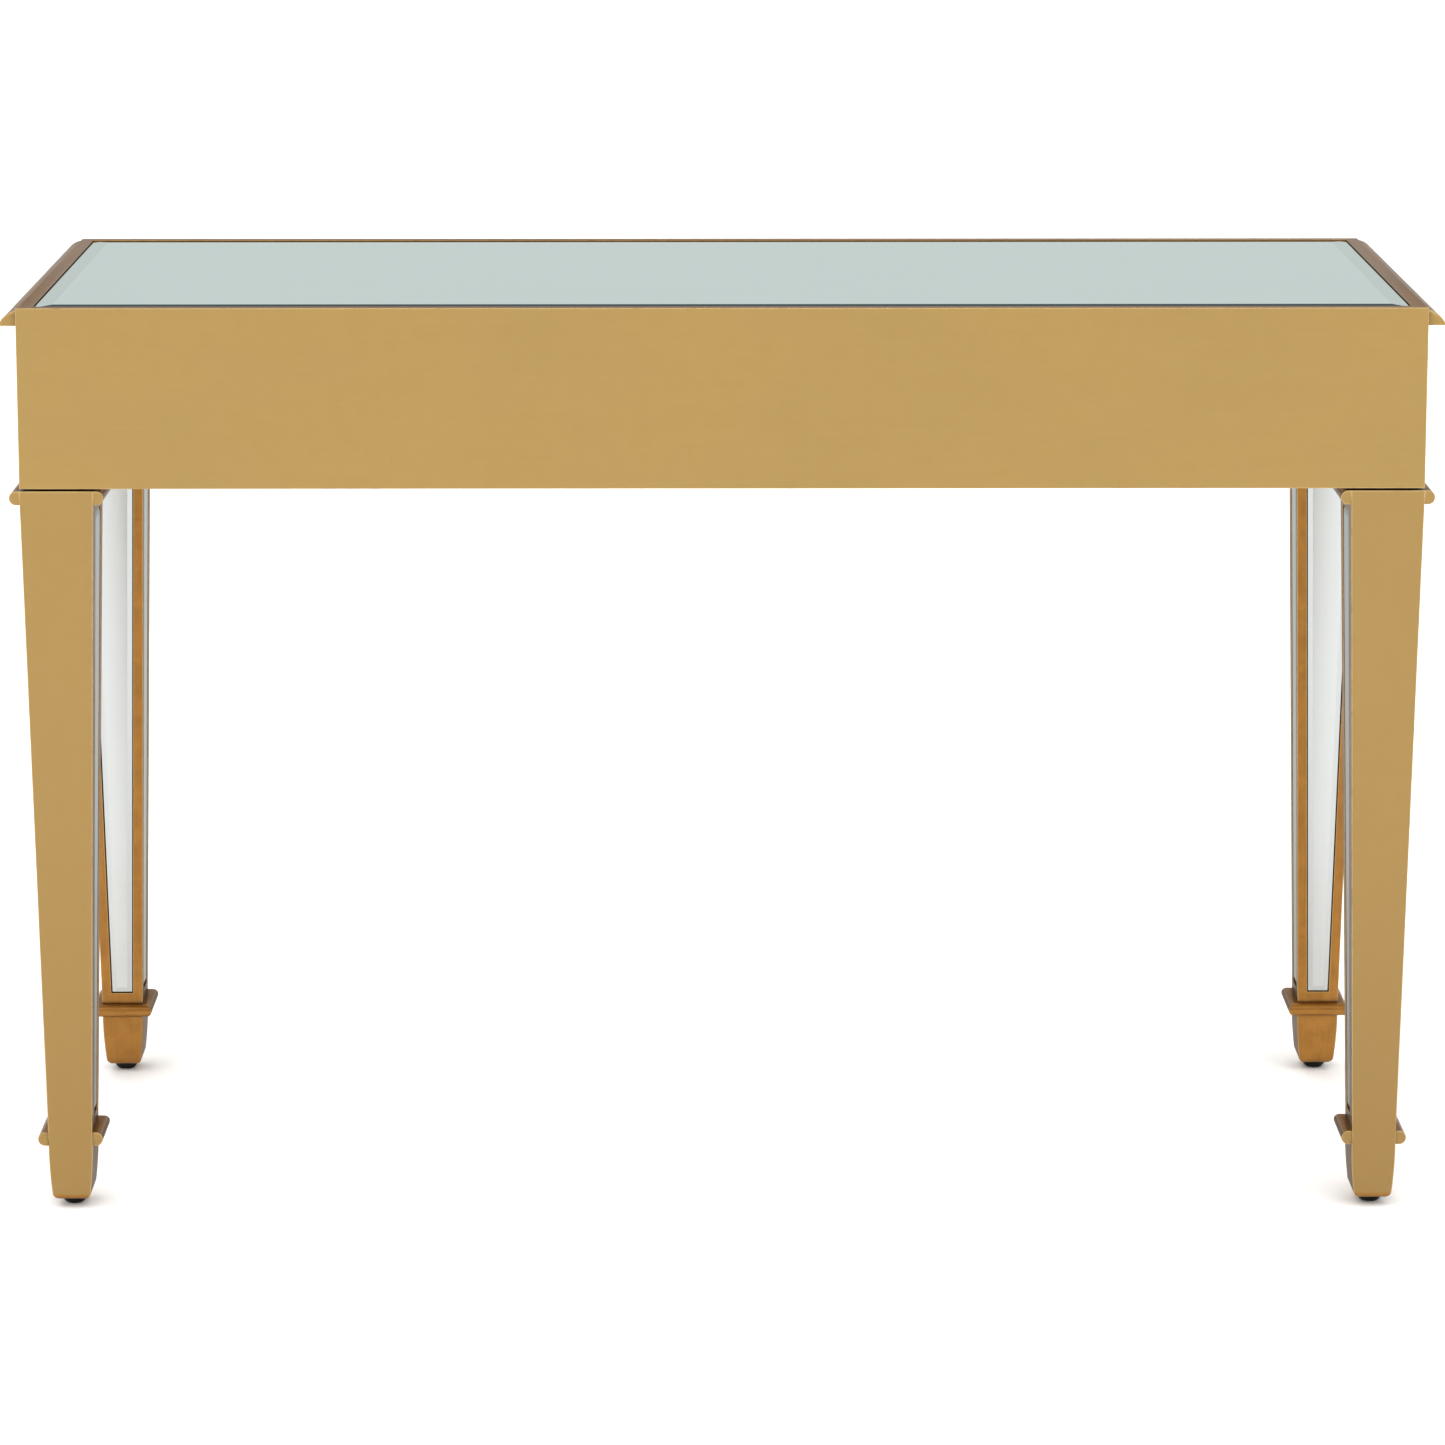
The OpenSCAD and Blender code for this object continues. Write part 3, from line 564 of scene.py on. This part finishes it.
def crystal_knob(side):
    """A cut knob: each ring of corners is turned half a flat from the last, with triangles between."""
    node = "knob_crystal_" + side
    low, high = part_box(node)
    axis = Vector(((low.x + high.x) / 2, high.y, (low.z + high.z) / 2))
    radius, height = (high.x - low.x) / 2, high.y - low.y
    shape = bmesh.new()
    rows = []
    for step, (reach, up) in enumerate(KNOB_RINGS):
        turn = 0.5 * (step % 2)
        angles = [2 * math.pi * (i + turn) / FACETS for i in range(FACETS)]
        corners = [Vector((radius * reach * math.cos(a), -height * up, radius * reach * math.sin(a)))
                   for a in angles]
        rows.append([shape.verts.new(axis + corner) for corner in corners])
    for step, (row, nearer) in enumerate(zip(rows, rows[1:])):
        turned_on = step % 2 == 0
        for i in range(FACETS):
            j = (i + 1) % FACETS
            if turned_on:
                shape.faces.new((row[i], row[j], nearer[i]))
                shape.faces.new((row[j], nearer[j], nearer[i]))
            else:
                shape.faces.new((row[i], nearer[j], nearer[i]))
                shape.faces.new((row[i], row[j], nearer[j]))
    shape.faces.new(rows[0])
    shape.faces.new(rows[-1])
    bmesh.ops.recalc_face_normals(shape, faces=shape.faces)
    mesh = bpy.data.meshes.new(node + "_cut")
    shape.to_mesh(mesh)
    shape.free()
    piece = piece_from(mesh, node + "_cut")
    paint(piece, CRYSTAL)
    stands_for(piece, node)


for side in SIDES:
    crystal_knob(side)


# ---------- Screws, set by geometry nodes ----------

HEAD_SIDES = 24
SHANK_SIDES = 16
RECESS_LENGTH = 1.15       # of a cross recess, as a share of the head's radius
RECESS_WIDTH = 0.22


def screw_tree():
    """A cross-headed screw on each point, its head up along the point's own direction."""
    group = bpy.data.node_groups.new("set_screws", "GeometryNodeTree")
    sockets = (("Geometry", "NodeSocketGeometry"), ("Head Radius", "NodeSocketFloat"),
               ("Neck Radius", "NodeSocketFloat"), ("Head Height", "NodeSocketFloat"),
               ("Length", "NodeSocketFloat"), ("Finish", "NodeSocketMaterial"))
    for name, kind in sockets:
        group.interface.new_socket(name, in_out="INPUT", socket_type=kind)
    group.interface.new_socket("Geometry", in_out="OUTPUT", socket_type="NodeSocketGeometry")
    tree = Tree(group)
    given = tree.add("NodeGroupInput").outputs
    head = tree.add("GeometryNodeMeshCone", {"Vertices": HEAD_SIDES,
                                             "Radius Bottom": given["Neck Radius"],
                                             "Radius Top": given["Head Radius"],
                                             "Depth": given["Head Height"]})
    down = tree.add("ShaderNodeCombineXYZ", {"Z": tree.times(given["Head Height"], -1.0)})
    head = tree.add("GeometryNodeTransform", {"Geometry": head.outputs["Mesh"],
                                              "Translation": down.outputs[0]})
    slot_length = tree.times(given["Head Radius"], RECESS_LENGTH)
    slot_width = tree.times(given["Head Radius"], RECESS_WIDTH)
    recess = tree.add("GeometryNodeMeshBoolean", {0: head.outputs[0]},
                      operation="DIFFERENCE", solver="EXACT")
    for x, y in ((slot_length, slot_width), (slot_width, slot_length)):
        size = tree.add("ShaderNodeCombineXYZ", {"X": x, "Y": y, "Z": given["Head Height"]})
        bar = tree.add("GeometryNodeMeshCube", {"Size": size.outputs[0]})
        tree.tree.links.new(bar.outputs["Mesh"], recess.inputs[1])
    shank = tree.add("GeometryNodeMeshCylinder", {"Vertices": SHANK_SIDES,
                                                  "Radius": given["Neck Radius"],
                                                  "Depth": given["Length"]})
    half = tree.times(given["Length"], -0.5)
    sunk = tree.add("ShaderNodeCombineXYZ", {"Z": tree.math("SUBTRACT", half, given["Head Height"])})
    shank = tree.add("GeometryNodeTransform", {"Geometry": shank.outputs["Mesh"],
                                               "Translation": sunk.outputs[0]})
    screw = tree.add("GeometryNodeJoinGeometry")
    for part in (shank.outputs[0], recess.outputs[0]):
        tree.tree.links.new(part, screw.inputs[0])
    way = tree.add("GeometryNodeInputNamedAttribute", {"Name": "facing"}, data_type="FLOAT_VECTOR")
    turned = tree.add("FunctionNodeAlignRotationToVector", {"Vector": way.outputs["Attribute"]}, axis="Z")
    placed = tree.add("GeometryNodeInstanceOnPoints", {"Points": given["Geometry"],
                                                       "Instance": screw.outputs[0],
                                                       "Rotation": turned.outputs[0]})
    real = tree.add("GeometryNodeRealizeInstances", {"Geometry": placed.outputs[0]})
    done = tree.add("GeometryNodeSetMaterial", {"Geometry": real.outputs[0],
                                                "Material": given["Finish"]})
    tree.add("NodeGroupOutput", {0: done.outputs[0]})
    return group


SCREW_TREE = screw_tree()


def set_screws(name, heads, head_r, neck_r, head_h, length):
    """Screws with their heads' tops at these points, each facing its own way."""
    mesh = bpy.data.meshes.new(name)
    mesh.from_pydata([point for point, _ in heads], [], [])
    ways = mesh.attributes.new("facing", "FLOAT_VECTOR", "POINT")
    for i, (_, way) in enumerate(heads):
        ways.data[i].vector = way
    piece = piece_from(mesh, name)
    modifier = piece.modifiers.new("screws", "NODES")
    modifier.node_group = SCREW_TREE
    wanted = {"Head Radius": head_r, "Neck Radius": neck_r, "Head Height": head_h,
              "Length": length, "Finish": ZINC}
    for item in SCREW_TREE.interface.items_tree:
        if item.in_out == "INPUT" and item.name in wanted:
            modifier[item.identifier] = wanted[item.name]
    plain_mesh(piece)
    return piece


END_SLICE = 0.02           # the share of a screw's length that tells its head from its tip
SAME_SIZE = 0.001 * MM     # sizes closer than this are equal


def heads_of(node, axis):
    """The screws of a CAD node that lie along one axis.

    Gives where each has its head's top and which way it faces, and the screws' head radius
    and length."""
    heads, head_r, length = [], 0.0, 0.0
    for points in shells(node):
        low = Vector([min(p[i] for p in points) for i in range(3)])
        high = Vector([max(p[i] for p in points) for i in range(3)])
        size = high - low
        if size[axis] < max(size) - SAME_SIZE:
            continue
        middle = (low + high) / 2
        end = size[axis] * END_SLICE
        near_low = max((p - middle).length for p in points if p[axis] - low[axis] < end)
        near_high = max((p - middle).length for p in points if high[axis] - p[axis] < end)
        way = Vector((0, 0, 0))
        way[axis] = 1 if near_high > near_low else -1
        top = middle.copy()
        top[axis] = high[axis] if way[axis] > 0 else low[axis]
        heads.append((top, way))
        head_r = max(head_r, min(size[i] for i in range(3) if i != axis) / 2)
        length = size[axis]
    return heads, head_r, length


X_AXIS, Y_AXIS = 0, 1
SLIDE_SCREW_R = 1.75 * MM
SLIDE_HEAD_H = 1.2 * MM
KNOB_SCREW_R = 2.0 * MM
KNOB_HEAD_H = 2.0 * MM

for node in ("slide_rail_screws", "drawer_screws_left", "drawer_screws_right"):
    heads, head_r, length = heads_of(node, X_AXIS)
    screws = set_screws(node + "_cross_head", heads, head_r, SLIDE_SCREW_R, SLIDE_HEAD_H,
                        length - 2 * SLIDE_HEAD_H)
    stands_for(screws, node)
for side in SIDES:
    node = "drawer_screws_" + side
    heads, head_r, length = heads_of(node, Y_AXIS)
    knob_screw = set_screws("knob_screw_" + side, heads, head_r, KNOB_SCREW_R, KNOB_HEAD_H,
                            length - 2 * KNOB_HEAD_H)
    stands_for(knob_screw, node)


# ---------- Studio ----------

FLOOR_REACH = 60.0
FLOOR_GREY = (0.94, 0.94, 0.94, 1.0)
FLOOR_PALE = (0.96, 0.96, 0.96, 1.0)


def studio_floor():
    corners = [(x * FLOOR_REACH, y * FLOOR_REACH, 0) for x, y in ((-1, -1), (1, -1), (1, 1), (-1, 1))]
    mesh = bpy.data.meshes.new("studio_floor")
    mesh.from_pydata(corners, [], [(0, 1, 2, 3)])
    floor = piece_from(mesh, "studio_floor")
    material, tree, shader = surface("pale_floor")
    grain = tree.noise(place(tree), 40, 3, 0.5)
    tree.tree.links.new(tree.mix(grain, FLOOR_GREY, FLOOR_PALE), shader.inputs["Base Color"])
    shader.inputs["Roughness"].default_value = 0.9
    shader.inputs["Specular IOR Level"].default_value = 0.1
    paint(floor, material)


# The room's colours by how far up a ray looks: 0 is level or below, 1 is straight up
ROOM_COLOURS = ((0.0, (0.65, 0.685, 0.69, 1.0)), (0.2, (0.63, 0.68, 0.68, 1.0)),
                (0.5, (0.46, 0.49, 0.49, 1.0)), (0.75, (0.60, 0.62, 0.62, 1.0)),
                (1.0, (0.50, 0.51, 0.51, 1.0)))
DOORWAY = (0.10, 0.12, 0.13, 1.0)
DIFFUSER = (1.9, 1.88, 1.84, 1.0)


def room_ramp(tree, up):
    """The walls and the ceiling, from the level to straight up."""
    ramp = tree.add("ShaderNodeValToRGB", {0: up})
    stops = ramp.color_ramp.elements
    for stop, (position, colour) in zip((stops[0], stops[1]), (ROOM_COLOURS[0], ROOM_COLOURS[-1])):
        stop.position, stop.color = position, colour
    for position, colour in ROOM_COLOURS[1:-1]:
        stops.new(position).color = colour
    return ramp.outputs[0]


def studio_room():
    """The room as the mirrors see it: pale walls, a dark doorway beyond the table's front, and
    under a grey ceiling a bright diffuser before the table and one behind it."""
    world = bpy.data.worlds.new("studio_room")
    bpy.context.scene.world = world
    world.use_nodes = True
    tree = Tree(world.node_tree)
    across, back, up = parts_of(tree, tree.add("ShaderNodeTexCoord").outputs["Generated"])
    aside = tree.math("ABSOLUTE", across)
    # How far up and aside a ray looks, as shares of its length, bounds the doorway and the diffusers
    door = tree.times(tree.between(up, 0.18, 0.235, 0.31, 0.37), tree.span(aside, 0.22, 0.34, 1.0, 0.0))
    door = tree.times(door, tree.span(back, -0.5, 0.0, 1.0, 0.0))
    seen = tree.mix(door, room_ramp(tree, up), DOORWAY)
    panel = tree.times(tree.between(up, 0.5, 0.6, 0.78, 0.86), tree.span(aside, 0.26, 0.42, 1.0, 0.0))
    seen = tree.mix(panel, seen, DIFFUSER)
    room = tree.add("ShaderNodeBackground", {"Color": seen, "Strength": 1.0})
    tree.add("ShaderNodeOutputWorld", {"Surface": room.outputs[0]})


def soft_light(name, strength, spread, azimuth, elevation):
    """A broad soft source that the mirrors don't show.

    Its spread, azimuth and elevation are in degrees, and azimuth 180 is behind the table."""
    data = bpy.data.lights.new(name, "SUN")
    data.energy = strength
    data.angle = math.radians(spread)
    light = bpy.data.objects.new(name, data)
    light.visible_glossy = False
    bpy.context.scene.collection.objects.link(light)
    a, e = math.radians(azimuth), math.radians(elevation)
    towards = Vector((math.sin(a) * math.cos(e), -math.cos(a) * math.cos(e), math.sin(e)))
    light.rotation_euler = towards.to_track_quat("Z", "Y").to_euler()


studio_floor()
studio_room()
soft_light("key_panel", strength=2.28, spread=100, azimuth=165, elevation=50)
soft_light("fill_panel", strength=0.9, spread=90, azimuth=215, elevation=35)
soft_light("front_panel", strength=0.95, spread=50, azimuth=20, elevation=62)

EYE_SIDE = 20.5 * MM       # how far towards +X from the table's middle the camera stands
EYE_BACK = 4.5299          # metres behind the table's back
EYE_HEIGHT = 1.3885        # metres above the floor
EYE_DOWN = 10.433          # degrees below the level
EYE_TURN = 0.26            # degrees towards -X
FOCAL = 135.16             # millimetres, on the sensor below
SENSOR_W = 36
RISE = -0.0986             # the view's shift, as a share of its width
FAR_LIMIT = 200            # metres

camera_data = bpy.data.cameras.new("camera")
camera_data.sensor_width = SENSOR_W
camera_data.lens = FOCAL
camera_data.shift_y = RISE
camera_data.clip_end = FAR_LIMIT
camera = bpy.data.objects.new("camera", camera_data)
bpy.context.scene.collection.objects.link(camera)
camera.location = (EYE_SIDE, BACK_Y + EYE_BACK, EYE_HEIGHT)
down, turn = math.radians(EYE_DOWN), math.radians(EYE_TURN)
ahead = Vector((-math.sin(turn) * math.cos(down), -math.cos(turn) * math.cos(down), -math.sin(down)))
camera.rotation_euler = ahead.to_track_quat("-Z", "Y").to_euler()
bpy.context.scene.camera = camera
bpy.context.scene.view_settings.view_transform = "Standard"
